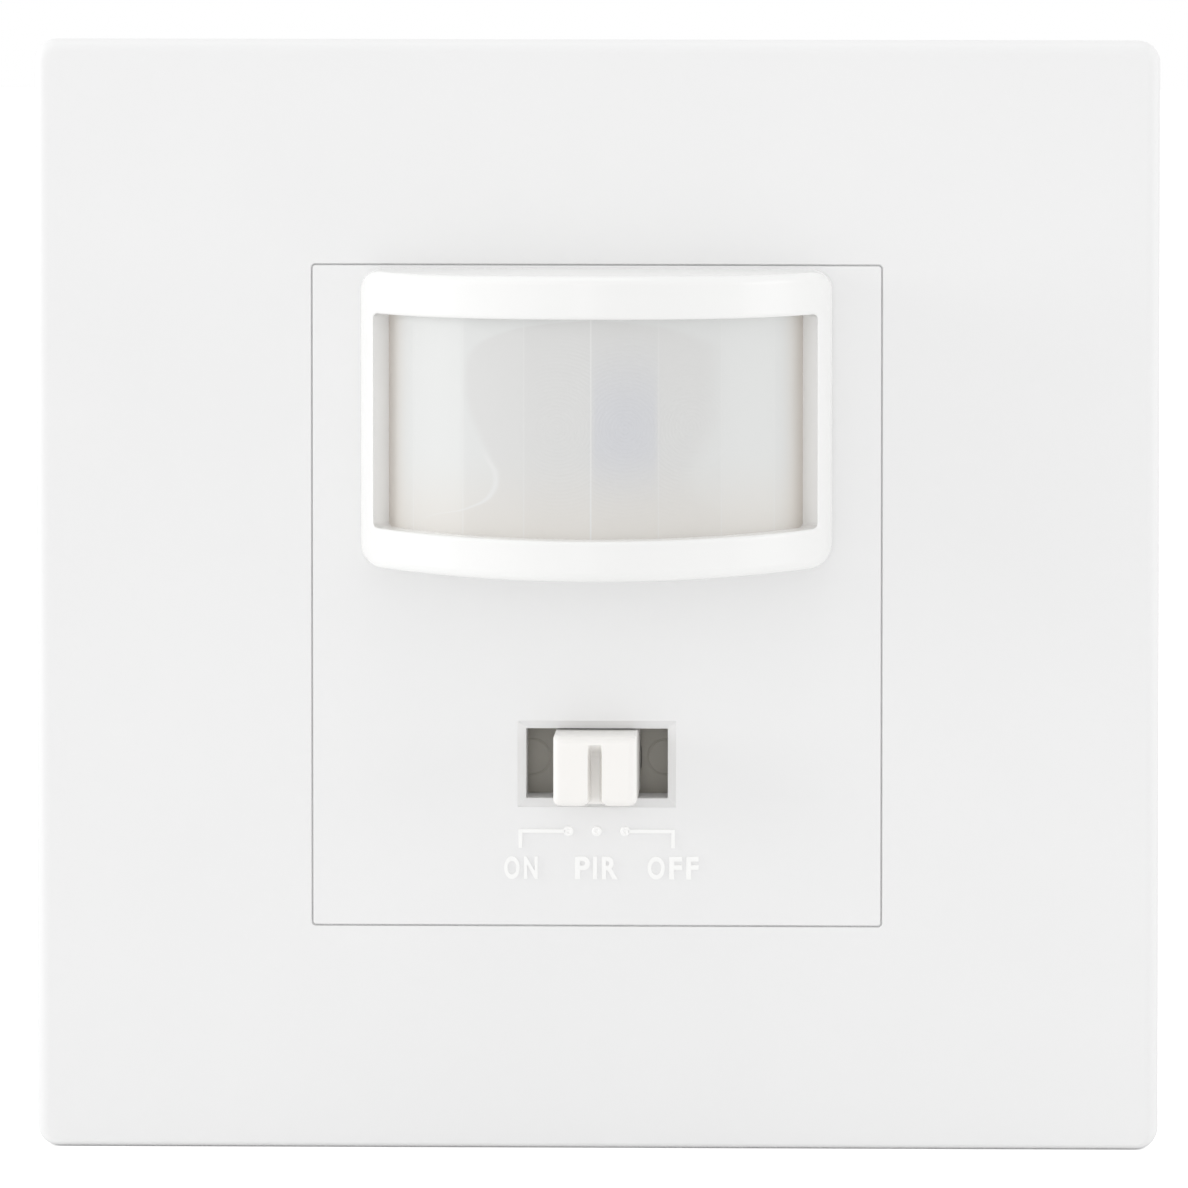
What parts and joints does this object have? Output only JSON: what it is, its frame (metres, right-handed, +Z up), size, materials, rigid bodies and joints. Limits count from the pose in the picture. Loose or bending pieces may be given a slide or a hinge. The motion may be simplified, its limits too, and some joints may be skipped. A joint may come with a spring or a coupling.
{
  "type": "motion sensor light switch",
  "caption": "Flush wall switch that senses motion: square cover frame, front panel with a curved sensor window, and a small slide selector.",
  "frame": {"origin": "middle of the fixing slots, on the wall's surface behind the mounting frame", "axes": "+Z up, +X to the right seen from the room, +Y into the wall; the front faces -Y"},
  "size_m": [0.0808, 0.0515, 0.08],
  "materials": {
    "frame_plastic": "fine satin moulded white",
    "panel_plastic": "fine satin moulded white",
    "hood_plastic": "polished white",
    "lens_sheet": "milky translucent sheet with fine rings",
    "knob_plastic": "smooth white",
    "housing_plastic": "moulded light grey",
    "inner_plastic": "moulded off-white",
    "zinc_steel": "zinc-plated sheet",
    "tinned_metal": "tinned",
    "brass_strip": "stamped brass",
    "soft_iron": "nickel-plated iron",
    "copper_winding": "lacquered copper wire",
    "board_laminate": "green solder mask",
    "black_moulding": "black moulded",
    "terminal_plastic": "dark grey moulded",
    "relay_blue": "blue moulded",
    "film_yellow": "yellow moulded",
    "sleeve_dark": "shrunk sleeve",
    "varistor_blue": "dipped epoxy",
    "fuse_ceramic": "white tube with plated caps",
    "resistor_coat": "lacquered",
    "trimmer_body": "blue moulded",
    "filter_glass": "dark infrared filter",
    "cell_coat": "lacquered light cell"
  },
  "bodies": {
    "switch_unit": {"mounting_frame": "zinc_steel", "frame_screws": "zinc_steel", "rear_housing": "housing_plastic", "inner_cover": "inner_plastic", "cover_screws": "zinc_steel", "switch_shell": "zinc_steel", "switch_base": "black_moulding", "switch_pins": "tinned_metal", "control_board": "board_laminate", "sensor_can": "tinned_metal", "sensor_window": "filter_glass", "sensor_holder": "hood_plastic", "sensor_leads": "tinned_metal", "sensor_shroud": "hood_plastic", "light_sensor": "cell_coat", "lux_trimmer": "trimmer_body", "time_trimmer": "trimmer_body", "controller_chip": "black_moulding", "header_strip": "black_moulding", "header_pins": "tinned_metal", "power_board": "board_laminate", "relay_case": "relay_blue", "relay_base": "black_moulding", "relay_coil": "copper_winding", "relay_yoke": "soft_iron", "relay_contacts": "brass_strip", "film_capacitor": "film_yellow", "electrolytic_capacitors": "sleeve_dark", "varistor": "varistor_blue", "fuse": "fuse_ceramic", "rectifier_diodes": "black_moulding", "dropper_resistor": "resistor_coat", "terminal_block": "terminal_plastic", "terminal_bars": "brass_strip"},
    "cover_frame": {"outer_frame": "frame_plastic"},
    "panel": {"front_panel": "panel_plastic", "lens_hood": "hood_plastic", "fresnel_lens": "lens_sheet", "lens_retainer": "hood_plastic"},
    "selector": {"selector_knob": "knob_plastic", "switch_slider": "black_moulding", "switch_wiper": "brass_strip"},
    "lux_dial": {"lux_rotor": "knob_plastic"},
    "time_dial": {"time_rotor": "knob_plastic"},
    "armature": {"relay_armature": "soft_iron"},
    "cage_1": {"clamp_cage_1": "zinc_steel"},
    "cage_2": {"clamp_cage_2": "zinc_steel"},
    "cage_3": {"clamp_cage_3": "zinc_steel"},
    "screw_1": {"terminal_screw_1": "zinc_steel"},
    "screw_2": {"terminal_screw_2": "zinc_steel"},
    "screw_3": {"terminal_screw_3": "zinc_steel"}
  },
  "joints": [
    {"name": "frame_pull", "type": "slide", "parent": "switch_unit", "child": "cover_frame", "axis": [0, -1, 0], "range_m": [0, 0.03]},
    {"name": "panel_pull", "type": "slide", "parent": "switch_unit", "child": "panel", "axis": [0, -1, 0], "range_m": [0, 0.025]},
    {"name": "selector_slide", "type": "slide", "parent": "switch_unit", "child": "selector", "axis": [1, 0, 0], "range_m": [-0.002, 0.002]},
    {"name": "lux_turn", "type": "hinge", "parent": "switch_unit", "child": "lux_dial", "pos_m": [-0.0124, -0.003, -0.01215], "axis": [0, -1, 0], "range_deg": [-135, 135]},
    {"name": "time_turn", "type": "hinge", "parent": "switch_unit", "child": "time_dial", "pos_m": [0.0124, -0.003, -0.01215], "axis": [0, -1, 0], "range_deg": [-135, 135]},
    {"name": "armature_swing", "type": "hinge", "parent": "switch_unit", "child": "armature", "pos_m": [0.00255, 0.0252, 0.012], "axis": [0, 0, -1], "range_deg": [0, 2.8], "stiffness_Nm_per_rad": 0.002},
    {"name": "screw_turn_1", "type": "hinge", "parent": "switch_unit", "child": "screw_1", "pos_m": [-0.0075, 0.028, -0.0159], "axis": [0, -1, 0], "range_deg": [0, 1440]},
    {"name": "cage_lift_1", "type": "slide", "parent": "switch_unit", "child": "cage_1", "axis": [0, 1, 0], "range_m": [0, 0.002]},
    {"name": "screw_turn_2", "type": "hinge", "parent": "switch_unit", "child": "screw_2", "pos_m": [0, 0.028, -0.0159], "axis": [0, -1, 0], "range_deg": [0, 1440]},
    {"name": "cage_lift_2", "type": "slide", "parent": "switch_unit", "child": "cage_2", "axis": [0, 1, 0], "range_m": [0, 0.002]},
    {"name": "screw_turn_3", "type": "hinge", "parent": "switch_unit", "child": "screw_3", "pos_m": [0.0075, 0.028, -0.0159], "axis": [0, -1, 0], "range_deg": [0, 1440]},
    {"name": "cage_lift_3", "type": "slide", "parent": "switch_unit", "child": "cage_3", "axis": [0, 1, 0], "range_m": [0, 0.002]}
  ],
  "couplings": [
    {"joint": "screw_turn_1", "follows": "cage_lift_1", "rad_per_m": 12566},
    {"joint": "screw_turn_2", "follows": "cage_lift_2", "rad_per_m": 12566},
    {"joint": "screw_turn_3", "follows": "cage_lift_3", "rad_per_m": 12566}
  ]
}
